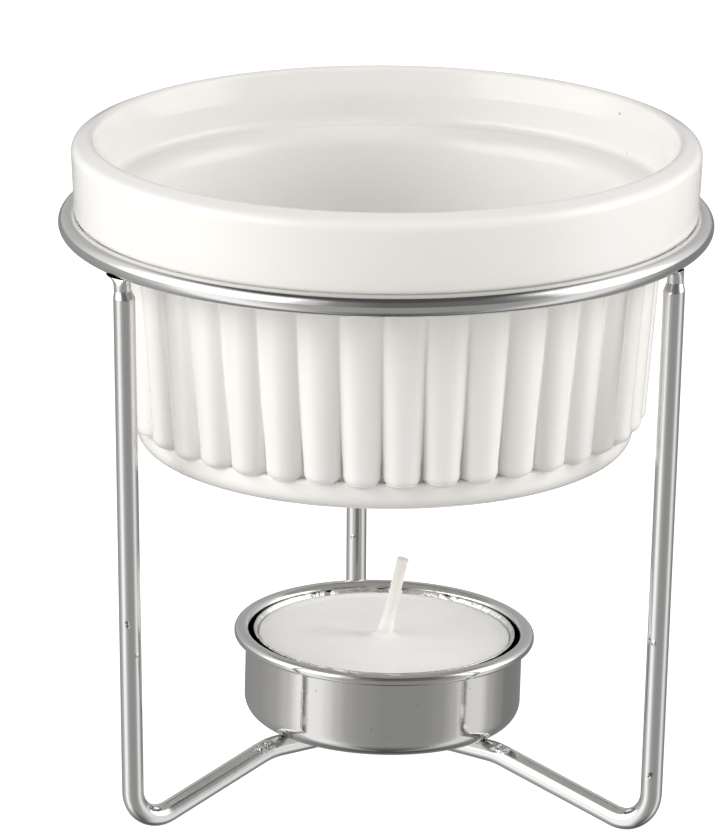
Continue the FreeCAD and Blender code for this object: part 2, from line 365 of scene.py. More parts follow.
def build_lines() -> None:
    """Group that puts out fine lines along the second direction of the UV map."""
    group = Group(Shared.LINES, "Height", Across=200.0, Along=0.05)
    given = group.given
    stretch = group.add("CombineXYZ", {"X": given["Across"], "Y": given["Along"]})["Vector"]
    place = group.add("VectorMath", {0: given["Place"], 1: stretch}, operation="MULTIPLY")["Vector"]
    lines = group.add("TexNoise", {"Vector": place, "Scale": 1.0, "Detail": 4.0, "Roughness": 0.65})["Fac"]
    group.feed(group.result, lines)


def build_spot() -> None:
    """Group that puts out a mask of one ragged spot round a given place."""
    group = Group(Shared.SPOT, "Mask", ("Place", "Centre"), Radius=0.0005)
    given = group.given
    away = group.add("VectorMath", {0: given["Place"], 1: given["Centre"]}, operation="DISTANCE")["Value"]
    noise = group.add("TexNoise", {"Vector": given["Place"], "Scale": 2600.0})["Fac"]
    ragged = group.add("MapRange", {"Value": noise, "To Min": 0.45, "To Max": 1.55})["Result"]
    worn = group.add("Math", {0: away, 1: ragged}, operation="MULTIPLY")["Value"]
    group.feed(group.result, group.disc(worn, given["Radius"]))


class Sheet(Nodes):
    """Node tree of one material with a Principled shader."""

    def __init__(self, name: str, **constants: float | tuple[float, ...]) -> None:
        """Makes the material.

        Args:
            name: Name of the material.
            constants: Values of the shader's sockets, with underscores for spaces.
        """
        self.material = bpy.data.materials.new(name)
        self.material.use_nodes = True
        super().__init__(self.material.node_tree)
        self.shader = self.tree.nodes["Principled BSDF"].inputs
        self.coordinates = self.add("TexCoord", {})
        for socket, value in constants.items():
            self.feed(self.shader[socket.replace("_", " ")], value)

    def shared(self, shared: Shared, place: str = "Object", **values: float | tuple) -> bpy.types.NodeSocket:
        """Places a shared group.

        Args:
            shared: Which group.
            place: Output of the coordinates that it reads.
            values: Values of its inputs.

        Returns:
            The group's output socket.
        """
        node = self.tree.nodes.new("ShaderNodeGroup")
        node.node_tree = bpy.data.node_groups[shared.value]
        for name, value in {"Place": self.coordinates[place], **values}.items():
            self.feed(node.inputs[name], value)
        return node.outputs[0]

    def clouds(self, scale: float, low: float = 0.0, high: float = 1.0) -> bpy.types.NodeSocket:
        """Soft noise between two values."""
        return self.shared(Shared.CLOUDS, Scale=scale, Low=low, High=high)

    def lines(self, across: float, along: float) -> bpy.types.NodeSocket:
        """Fine lines along the piece."""
        return self.shared(Shared.LINES, "UV", Across=across, Along=along)

    def specks(self, spacing: float, size: float, share: float) -> bpy.types.NodeSocket:
        """Mask of scattered specks."""
        return self.shared(Shared.SPECKS, Spacing=spacing, Size=size, Share=share)

    def spots(self, marks: Marks) -> bpy.types.NodeSocket:
        """Mask of single spots, each given by its centre and radius in millimetres."""
        masks = [
            self.shared(Shared.SPOT, Centre=tuple(part * MM for part in centre), Radius=radius * MM)
            for *centre, radius in marks
        ]
        whole = masks[0]
        for mask in masks[1:]:
            whole = self.add("Math", {0: whole, 1: mask}, operation="MAXIMUM")["Value"]
        return whole

    def finish(self, colour: bpy.types.NodeSocket, roughness: bpy.types.NodeSocket,
               *bumps: tuple[bpy.types.NodeSocket, float]) -> bpy.types.Material:
        """Joins what changes over the surface to the shader.

        Args:
            colour: Socket of the colour.
            roughness: Socket of the roughness.
            bumps: Height from 0 to 1 and depth in millimetres of each bump, each on top of the last.

        Returns:
            The material.
        """
        below: dict[str, Value] = {}
        for height, depth in bumps:
            normal = self.add("Bump", {"Height": height, "Distance": depth * MM, "Strength": 1.0, **below})["Normal"]
            below = {"Normal": normal}
        for name, socket in {"Base Color": colour, "Roughness": roughness, **below}.items():
            self.feed(self.shader[name], socket)
        return self.material


# Finishes. Scales are per metre. Lines are given by their scale across and along the piece, specks
# by scale, size and share, and single marks by their centre and radius in millimetres.


@dataclass(frozen=True)
class Glaze:
    """White glazed porcelain: glassy, a little uneven, with rare pinholes."""

    colour: Colour = (0.89, 0.866, 0.838, 1.0)
    thin_colour: Colour = (0.90, 0.882, 0.858, 1.0)
    pinhole_colour: Colour = (0.36, 0.33, 0.30, 1.0)
    roughness: tuple[float, float] = (0.07, 0.13)
    tint_scale: float = 38.0
    gloss_scale: float = 70.0
    wave_scale: float = 160.0
    wave_depth: float = 0.012
    pinhole_depth: float = 0.05
    pinholes: Marks = ((36.1, 20.0, 94.1, 0.34), (37.1, 17.1, 88.7, 0.36))

    def material(self) -> bpy.types.Material:
        """Builds the material."""
        sheet = Sheet("porcelain_glaze", IOR=1.52)
        pinholes = sheet.spots(self.pinholes)
        colour = sheet.mixed(sheet.clouds(self.tint_scale), self.colour, self.thin_colour)
        colour = sheet.mixed(pinholes, colour, self.pinhole_colour)
        return sheet.finish(colour, sheet.clouds(self.gloss_scale, *self.roughness),
                            (sheet.clouds(self.wave_scale), self.wave_depth), (pinholes, -self.pinhole_depth))


@dataclass(frozen=True)
class Chrome:
    """Bright plated wire with faint drawing lines, weld spatter and a few tiny pits."""

    colour: Colour = (0.73, 0.725, 0.715, 1.0)
    pit_colour: Colour = (0.05, 0.04, 0.035, 1.0)
    roughness: tuple[float, float] = (0.09, 0.14)
    gloss_scale: float = 240.0
    wave_scale: float = 210.0
    wave_depth: float = 0.010
    lines: tuple[float, float] = (46.0, 0.12)
    line_depth: float = 0.004
    pit_depth: float = 0.10
    nick_height: float = 0.12
    spatter_height: float = 0.35
    pits: Marks = (
        (-38.5, -24.9, 32.2, 0.42),
        (-38.4, -24.9, 31.7, 0.36),
        (35.9, -30.4, 9.6, 0.46),
        (35.6, -30.4, 9.3, 0.32),
        (35.5, -28.4, 29.3, 0.3),
    )
    nicks: Marks = ((-37.1, -24.6, 27.1, 0.45), (36.0, -29.0, 28.9, 0.5), (-0.7, 43.7, 21.6, 0.5))
    spatter: Marks = (
        (-18.5, -12.4, 8.1, 0.9),
        (-17.4, -11.7, 8.4, 1.0),
        (15.3, -13.8, 8.4, 0.9),
        (16.6, -14.5, 8.3, 1.1),
    )

    def material(self) -> bpy.types.Material:
        """Builds the material."""
        sheet = Sheet("chrome_wire", Metallic=1.0)
        pits = sheet.spots(self.pits)
        return sheet.finish(
            sheet.mixed(pits, self.colour, self.pit_colour),
            sheet.clouds(self.gloss_scale, *self.roughness),
            (sheet.clouds(self.wave_scale), self.wave_depth),
            (sheet.lines(*self.lines), self.line_depth),
            (sheet.spots(self.nicks), self.nick_height),
            (sheet.spots(self.spatter), self.spatter_height),
            (pits, -self.pit_depth),
        )


@dataclass(frozen=True)
class DrawnSheet:
    """Plated sheet of the tray, with upright lines from the drawing die and fine orange peel."""

    colour: Colour = (0.64, 0.632, 0.617, 1.0)
    speck_colour: Colour = (0.34, 0.33, 0.31, 1.0)
    roughness: tuple[float, float] = (0.04, 0.08)
    gloss_scale: float = 130.0
    lines: tuple[float, float] = (420.0, 0.10)
    line_depth: float = 0.006
    peel_scale: float = 1500.0
    peel_depth: float = 0.002
    specks: tuple[float, float, float] = (900.0, 0.16, 0.10)
    speck_depth: float = 0.02

    def material(self) -> bpy.types.Material:
        """Builds the material."""
        sheet = Sheet("drawn_tray_sheet", Metallic=1.0)
        specks = sheet.specks(*self.specks)
        return sheet.finish(
            sheet.mixed(specks, self.colour, self.speck_colour),
            sheet.clouds(self.gloss_scale, *self.roughness),
            (sheet.lines(*self.lines), self.line_depth),
            (sheet.clouds(self.peel_scale), self.peel_depth),
            (specks, -self.speck_depth),
        )


@dataclass(frozen=True)
class Foil:
    """Thin bright aluminium with fine creases."""

    colour: Colour = (0.84, 0.84, 0.83, 1.0)
    shade: Colour = (0.7224, 0.7224, 0.7138, 1.0)
    roughness: tuple[float, float] = (0.14, 0.26)
    gloss_scale: float = 300.0
    creases: tuple[float, float] = (70.0, 0.5)
    crease_depth: float = 0.25
    dent_scale: float = 500.0
    dent_depth: float = 0.12

    def material(self) -> bpy.types.Material:
        """Builds the material."""
        sheet = Sheet("tealight_foil", Metallic=1.0)
        dents = sheet.clouds(self.dent_scale)
        roughness = sheet.clouds(self.gloss_scale, *self.roughness)
        return sheet.finish(sheet.mixed(dents, self.colour, self.shade), roughness,
                            (sheet.lines(*self.creases), self.crease_depth), (dents, self.dent_depth))


@dataclass(frozen=True)
class Wax:
    """White paraffin: lets a little light through, with tiny bubbles at the surface."""

    colour: Colour = (0.94, 0.93, 0.915, 1.0)
    shade: Colour = (0.9118, 0.9021, 0.88755, 1.0)
    bubble_colour: Colour = (0.66, 0.65, 0.62, 1.0)
    roughness: tuple[float, float] = (0.34, 0.5)
    gloss_scale: float = 240.0
    light_depth: float = 0.9
    wave_scale: float = 170.0
    wave_depth: float = 0.05
    bubbles: tuple[float, float, float] = (700.0, 0.10, 0.06)
    bubble_depth: float = 0.03

    def material(self) -> bpy.types.Material:
        """Builds the material."""
        sheet = Sheet("candle_wax", IOR=1.43, Subsurface_Weight=0.35, Subsurface_Radius=(1.0, 0.95, 0.85),
                      Subsurface_Scale=self.light_depth * MM)
        bubbles = sheet.specks(*self.bubbles)
        waves = sheet.clouds(self.wave_scale)
        colour = sheet.mixed(waves, self.colour, self.shade)
        colour = sheet.mixed(bubbles, colour, self.bubble_colour)
        return sheet.finish(colour, sheet.clouds(self.gloss_scale, *self.roughness),
                            (waves, self.wave_depth), (bubbles, -self.bubble_depth))


@dataclass(frozen=True)
class Cotton:
    """Braided cotton stiffened with wax."""

    colour: Colour = (0.96, 0.94, 0.90, 1.0)
    shade: Colour = (0.88, 0.85, 0.80, 1.0)
    roughness: tuple[float, float] = (0.6, 0.85)
    gloss_scale: float = 900.0
    fibres: tuple[float, float] = (26.0, 1.6)
    fibre_depth: float = 0.10

    def material(self) -> bpy.types.Material:
        """Builds the material."""
        sheet = Sheet("cotton_wick", Sheen_Weight=0.3)
        fibres = sheet.lines(*self.fibres)
        roughness = sheet.clouds(self.gloss_scale, *self.roughness)
        return sheet.finish(sheet.mixed(fibres, self.shade, self.colour), roughness, (fibres, self.fibre_depth))


@dataclass(frozen=True)
class Tin:
    """Tinned steel of the wick's tab."""

    colour: Colour = (0.68, 0.68, 0.67, 1.0)
    shade: Colour = (0.544, 0.544, 0.536, 1.0)
    roughness: tuple[float, float] = (0.25, 0.4)
    gloss_scale: float = 500.0
    wave_scale: float = 800.0
    wave_depth: float = 0.01

    def material(self) -> bpy.types.Material:
        """Builds the material."""
        sheet = Sheet("tinned_tab", Metallic=1.0)
        waves = sheet.clouds(self.wave_scale)
        roughness = sheet.clouds(self.gloss_scale, *self.roughness)
        return sheet.finish(sheet.mixed(waves, self.colour, self.shade), roughness, (waves, self.wave_depth))


def dress(piece: bpy.types.Object, material: bpy.types.Material, node: str) -> None:
    """Gives a piece its finish, lets it ride with the stand and stand for its CAD node.

    Args:
        piece: The piece.
        material: Its finish.
        node: CAD node that it replaces.
    """
    piece.data.materials.clear()
    piece.data.materials.append(material)
    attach(piece, BODY)
    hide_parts(node)
    log.info("%s: %d faces", piece.name, len(piece.data.polygons))


# Ramekin


@dataclass
class Ramekin:
    """Porcelain dish with a plain band, a stepped inside, a reeded wall and a foot ring."""

    rim_diameter: float = 90.3
    band_height: float = 11.7
    band_bottom_diameter: float = 89.4
    band_corner: float = 1.5
    band_fillet: float = 1.6
    wall_top_diameter: float = 78.5
    wall_bottom_diameter: float = 69.6
    base_diameter: float = 72.0
    base_height: float = 4.2
    base_edge: float = 0.55
    base_corner: float = 2.4
    foot_ring_width: float = 3.0
    foot_ring_height: float = 0.8
    lip_fall: float = 1.0
    lip_outer_radius: float = 1.6
    lip_diameter: float = 83.7
    crown_width: float = 0.9
    crown_radius: float = 1.2
    lip_inner_radius: float = 0.8
    bevel_depth: float = 3.95
    bevel_diameter: float = 81.7
    bevel_radius: float = 2.0
    step_depth: float = 8.15
    step_diameter: float = 81.5
    step_fillet: float = 1.2
    step_fall: float = 0.5
    shoulder_diameter: float = 73.6
    shoulder_radius: float = 3.5
    floor_thickness: float = 3.8
    floor_diameter: float = 63.0
    floor_fillet: float = 7.0
    reed_count: int = 40
    reed_phase: float = 7.8
    reed_top_radius: float = 4.8
    reed_bottom_radius: float = 2.7
    crest_top_diameter: float = 80.1
    crest_bottom_diameter: float = 75.8
    reed_end: float = 3.6
    valley_blend: float = 0.45
    end_blend: float = 0.4
    end_squareness: float = 4.0
    columns_per_reed: int = 14
    valley_crowding: float = 0.6
    end_scatter: float = 0.1
    end_seed: int = 4
    hand_wobble: float = 0.05
    wobble_length: float = 34.0
    wobble_seed: int = 11

    def __post_init__(self) -> None:
        """Reads the heights from the frame."""
        self.bottom, self.rim = span("ramekin")
        self.band_bottom = self.rim - self.band_height

    def section(self) -> list[Vector]:
        """Half section, from the middle of the underside round to the middle of the floor."""
        recess = self.base_diameter / 2 - self.base_corner - self.foot_ring_width
        base_top = self.bottom + self.base_height
        step_top = self.rim - self.step_depth
        floor = self.bottom + self.floor_thickness
        above_reed_ends = self.bottom + self.reed_end + 2 * self.reed_bottom_radius
        share = (above_reed_ends - base_top) / (self.band_bottom - base_top)
        wall_there = (self.wall_bottom_diameter + share * (self.wall_top_diameter - self.wall_bottom_diameter)) / 2
        return rounded_line([
            edge(0, self.bottom + self.foot_ring_height, 0, 6),
            edge(recess, self.bottom + self.foot_ring_height, 0.3, 0.6),
            edge(recess, self.bottom, 0.25),
            edge(self.base_diameter / 2, self.bottom, self.base_corner, 0.4),
            edge(self.base_diameter / 2, base_top, self.base_edge, 0.25),
            edge(self.wall_bottom_diameter / 2, base_top, 0, 0.3),
            edge(wall_there, above_reed_ends, 0, 2.5),
            edge(self.wall_top_diameter / 2, self.band_bottom, self.band_fillet),
            edge(self.band_bottom_diameter / 2, self.band_bottom, self.band_corner, 2.5),
            edge(self.rim_diameter / 2, self.rim - self.lip_fall, self.lip_outer_radius, 1),
            edge(self.lip_diameter / 2 + self.crown_width, self.rim, self.crown_radius, 1),
            edge(self.lip_diameter / 2, self.rim, self.lip_inner_radius, 1),
            edge(self.bevel_diameter / 2, self.rim - self.bevel_depth, self.bevel_radius, 1),
            edge(self.step_diameter / 2, step_top, self.step_fillet, 1),
            edge(self.shoulder_diameter / 2, step_top - self.step_fall, self.shoulder_radius, 4),
            edge(self.floor_diameter / 2, floor, self.floor_fillet, 6),
            edge(0, floor),
        ], turn_step=7.5)

    def reed_reach(self, height: np.ndarray, angle: np.ndarray, reed: np.ndarray,
                   ends: np.ndarray) -> np.ndarray:
        """Distance from the axis to the outside of one reed.

        Args:
            height: Heights of the points.
            angle: Azimuths of the points, in radians.
            reed: Number of the reed that each point is measured against.
            ends: How much higher each reed ends than drawn.

        Returns:
            The distances, zero where the reed isn't met.
        """
        low = self.bottom + self.reed_end + self.reed_bottom_radius + ends[reed % self.reed_count]
        rise = np.clip((height - low) / (self.band_bottom + self.band_corner - low), 0, 1)
        crest = self.crest_bottom_diameter / 2 + rise * (self.crest_top_diameter - self.crest_bottom_diameter) / 2
        radius = self.reed_bottom_radius + rise * (self.reed_top_radius - self.reed_bottom_radius)
        centre = crest - radius
        below = np.maximum(low - height, 0)
        section = radius * np.sqrt(np.maximum(1 - (below / radius) ** self.end_squareness, 0))
        away = angle - np.radians(self.reed_phase + reed * 360 / self.reed_count)
        reach = section ** 2 - (centre * np.sin(away)) ** 2
        return np.where(reach > 0, centre * np.cos(away) + np.sqrt(np.maximum(reach, 0)), 0)

    def build(self, glaze: bpy.types.Material) -> None:
        """Builds the dish and gives it its glaze.

        Args:
            glaze: Its finish.
        """
        line = self.section()
        pitch = 2 * math.pi / self.reed_count
        share = np.arange(self.columns_per_reed) / self.columns_per_reed
        share = share - self.valley_crowding * np.sin(2 * math.pi * share) / (2 * math.pi)
        reed_start = np.arange(self.reed_count)[:, None] - 0.5
        azimuths = math.radians(self.reed_phase) + pitch * (reed_start + share).reshape(-1)
        points = turned(line, azimuths)
        out = np.hypot(points[..., 0], points[..., 1])
        height = points[..., 2]
        angle = np.broadcast_to(azimuths, out.shape)
        draws = np.random.default_rng(self.end_seed)
        ends = draws.uniform(-self.end_scatter, self.end_scatter, self.reed_count)
        nearest = (angle - math.radians(self.reed_phase)) / pitch
        first = np.floor(nearest).astype(int)
        reeds = soft_max(
            self.reed_reach(height, angle, first, ends),
            self.reed_reach(height, angle, first + 1, ends),
            self.valley_blend,
        )
        outside = np.arange(len(line)) < next(
            index for index, point in enumerate(line) if point.z >= self.band_bottom + self.band_corner)
        walled = outside[:, None] & (height > self.bottom + self.base_corner / 2) & (height <= self.band_bottom)
        reeded = np.where(walled, soft_max(out, reeds, self.end_blend), out)
        factor = np.where(out > 0, reeded / np.maximum(out, 1e-6), 1)
        points = points * np.stack([factor, factor, np.ones_like(factor)], axis=-1)
        uneven = self.hand_wobble * Unevenness(self.wobble_seed, self.wobble_length).at(points)
        clear = np.clip((height - self.bottom) / 2, 0, 1) * np.clip((self.rim - height) / 2, 0, 1)
        scale = 1 - np.abs(uneven * clear) / np.maximum(out, 5)
        points = points * np.stack([scale, scale, np.ones_like(scale)], axis=-1)
        dress(surface("porcelain_ramekin", points), glaze, "ramekin")


# Wire stand


@dataclass
class Leg:
    """One bent wire: weld neck, upright, foot bend, arm and a level end under the tray."""

    name: str
    node: str
    weld_azimuth: float
    foot_azimuth: float
    foot_radius: float
    neck_shift: float = 0.0
    neck_inset: float = 0.2
    flare: float = 0.8
    flare_shift: float = 0.0
    bead_seed: int = 1


@dataclass
class Stand:
    """Hoop with three legs welded under it."""

    wire_diameter: float = 3.1
    hoop_diameter: float = 94.0
    leg_bend: float = 4.75
    arm_elbow: float = 10.0
    arm_end: float = 9.0
    neck_diameter: float = 2.4
    neck_length: float = 1.45
    chamfer: float = 1.3
    neck_edge: float = 0.12
    flare_from: float = 0.8
    flare_height: float = 1.5
    flare_waist: float = 0.1
    bead_height: float = 0.05
    bead_length: float = 1.1
    bead_reach: float = 0.9
    end_rounding: float = 0.15
    flare_rows: int = 8
    neck_rows: int = 6
    chamfer_rows: tuple[float, ...] = (0, 0.03, 0.08, 0.5, 0.9, 0.96, 0.99, 1)
    sides: int = 40
    hoop_columns: int = 420
    legs: tuple[Leg, ...] = (
        Leg("left_leg", "leg_left", 211.6, 211.5, 44.15, -0.3, 0.3, 1.3, -1.2, bead_seed=3),
        Leg("right_leg", "leg_right", 327.8, 320.7, 46.5, 0.2, 0.25, 0.6, bead_seed=5),
        Leg("back_leg", "leg_back", 90.0, 90.0, 45.0, bead_seed=7),
    )

    def __post_init__(self) -> None:
        """Reads the hoop's height from the frame."""
        low, high = span("top_ring")
        self.hoop_height = (low + high) / 2
        self.wire = self.wire_diameter / 2
        self.hoop_radius = self.hoop_diameter / 2 - self.wire

    def build_hoop(self, chrome: bpy.types.Material) -> None:
        """Builds the hoop from its round section.

        Args:
            chrome: Its finish.
        """
        turn = np.linspace(0, 2 * math.pi, self.sides, endpoint=False)
        section = [
            Vector((self.hoop_radius + self.wire * math.cos(a), 0, self.hoop_height + self.wire * math.sin(a)))
            for a in turn
        ]
        hoop = surface("chrome_hoop", turned(section, self.hoop_columns), closed_rows=True)
        dress(hoop, chrome, "top_ring")

    def path(self, leg: Leg, tray: "Tray") -> list[Corner]:
        """Corners of a leg's centreline, with the foot on the table.

        Args:
            leg: The leg.
            tray: The tray that its arm carries.

        Returns:
            Corners from the hoop to the end under the tray.
        """
        weld = around(self.hoop_radius, leg.weld_azimuth, self.hoop_height)
        elbow = tray.under(tray.wall_diameter / 2, leg.foot_azimuth, self.wire)
        end = tray.under(self.arm_end, leg.foot_azimuth, self.wire)
        foot = around(leg.foot_radius, leg.foot_azimuth, 0)
        for _ in range(6):
            centre, _, _ = bend(weld, foot, elbow, self.leg_bend)
            flat = (weld - foot).cross(elbow - foot).normalized()
            lowest = centre.z - self.leg_bend * math.sqrt(1 - flat.z ** 2)
            foot.z += self.wire - lowest
        return [Corner(weld), Corner(foot, self.leg_bend), Corner(elbow, self.arm_elbow), Corner(end)]

    def build_leg(self, leg: Leg, tray: "Tray", chrome: bpy.types.Material) -> None:
        """Builds a leg with its weld neck.

        Args:
            leg: The leg.
            tray: The tray that its arm carries.
            chrome: Its finish.
        """
        weld, foot, elbow, end = self.path(leg, tray)
        down = (foot.place - weld.place).normalized()
        along_hoop = UP.cross(weld.place).normalized()
        aside_neck = SIDEWAYS * leg.neck_shift - weld.place.normalized() * leg.neck_inset
        neck = self.neck_diameter / 2
        neck_end = self.wire + self.neck_length
        flare_start = self.wire * self.flare_from
        flare_end = flare_start + self.flare_height
        rows = []
        for step in range(self.flare_rows + 1):
            rest = 1 - step / self.flare_rows
            grown = 1 - math.sqrt(1 - rest ** 2)
            depth = flare_start + (flare_end - flare_start) * (1 - rest)
            shift = aside_neck + along_hoop * leg.flare_shift * grown
            rows.append((depth, neck + leg.flare * grown, neck * (1 - self.flare_waist * grown), shift))
        for depth in np.linspace(flare_end, neck_end - self.neck_edge, self.neck_rows + 1)[1:]:
            rows.append((depth, neck, neck, aside_neck))
        for share in self.chamfer_rows:
            radius = neck + (self.wire - neck) * share
            rows.append((neck_end + self.chamfer * share, radius, radius, aside_neck * (1 - share)))
        depths, wides, deeps, shifts = (list(part) for part in zip(*rows))
        points = [weld.place + down * depth for depth in depths]
        start = Corner(weld.place + down * (depths[-1] + 0.5), 0, 2.5)
        rest_of_path = rounded_line([start, foot, elbow, end], turn_step=6)
        points += rest_of_path
        wides += [self.wire] * len(rest_of_path)
        deeps += [self.wire] * len(rest_of_path)
        tangent = (rest_of_path[-1] - rest_of_path[-2]).normalized()
        flat_end = self.wire - self.end_rounding
        near_end = self.wire - self.end_rounding / 3
        for reach, radius in ((0.2, self.wire), (0.27, near_end), (0.3, flat_end), (0.3, 0.0)):
            points.append(rest_of_path[-1] + tangent * reach)
            wides.append(radius)
            deeps.append(radius)
        grid = swept(points, np.array(wides), np.array(deeps), along_hoop, self.sides)
        outward = grid - np.array([point[:] for point in points])[:, None, :]
        grid[:len(shifts)] += np.array([shift[:] for shift in shifts])[:, None, :]
        near_weld = np.zeros(len(points))
        near_weld[:len(depths)] = np.exp(-((np.array(depths) - flare_start) / self.bead_reach) ** 2)
        bead = self.bead_height * Unevenness(leg.bead_seed, self.bead_length).at(grid) * near_weld[:, None]
        grid = grid + outward * bead[..., None]
        dress(surface(leg.name, grid), chrome, leg.node)


# Tray and tealight


@dataclass
class Tray:
    """Drawn cup whose rim turns out, down and back in. It leans a little, with all that stands in it."""

    wall_diameter: float = 40.5
    sheet: float = 0.5
    bottom: float = 8.85
    height: float = 13.35
    corner: float = 2.8
    rim_overhang: float = 1.72
    rim_height: float = 1.5
    rim_radius: float = 0.8
    rim_inner_radius: float = 1.0
    rim_return: float = 0.7
    lean: float = 1.2
    low_side: float = 355.0
    columns: int = 360

    def leaned(self) -> Matrix:
        """Turn of the lean, about the middle of the underside."""
        pivot = Matrix.Translation((0, 0, self.bottom))
        hinge = around(1, self.low_side + 90, 0)
        return pivot @ Matrix.Rotation(math.radians(self.lean), 4, hinge) @ pivot.inverted()

    def under(self, radius: float, azimuth: float, wire: float) -> Vector:
        """Centre of a wire that lies against the underside."""
        downhill = radius * math.cos(math.radians(azimuth - self.low_side))
        height = self.bottom - downhill * math.tan(math.radians(self.lean))
        return around(radius, azimuth, height - wire / math.cos(math.radians(self.lean)))

    def build(self, metal: bpy.types.Material) -> None:
        """Builds the tray from its section.

        Args:
            metal: Its finish.
        """
        wall = self.wall_diameter / 2
        inner_wall = wall - self.sheet
        top = self.bottom + self.height
        low = top - self.rim_height
        out = wall + self.rim_overhang
        inside_bend = self.rim_radius - self.sheet
        line = rounded_line([
            edge(0, self.bottom + self.sheet, 0, 5),
            edge(inner_wall, self.bottom + self.sheet, self.corner - self.sheet, 2),
            edge(inner_wall, top, self.rim_inner_radius, 0.3),
            edge(out, top, self.rim_radius, 0.3),
            edge(out, low, self.sheet, 0.3),
            edge(out - self.rim_return, low),
            edge(out - self.rim_return, low + self.sheet, 0, 0.3),
            edge(out - self.sheet, low + self.sheet, 0, 0.3),
            edge(out - self.sheet, top - self.sheet, inside_bend, 0.4),
            edge(wall, top - self.sheet, self.rim_inner_radius - self.sheet, 1.5),
            edge(wall, self.bottom, self.corner, 5),
            edge(0, self.bottom),
        ], turn_step=7.5)
        grid = turned(line, self.columns)
        dress(surface("drawn_tray", grid, lean=self.leaned()), metal, "candle_tray")


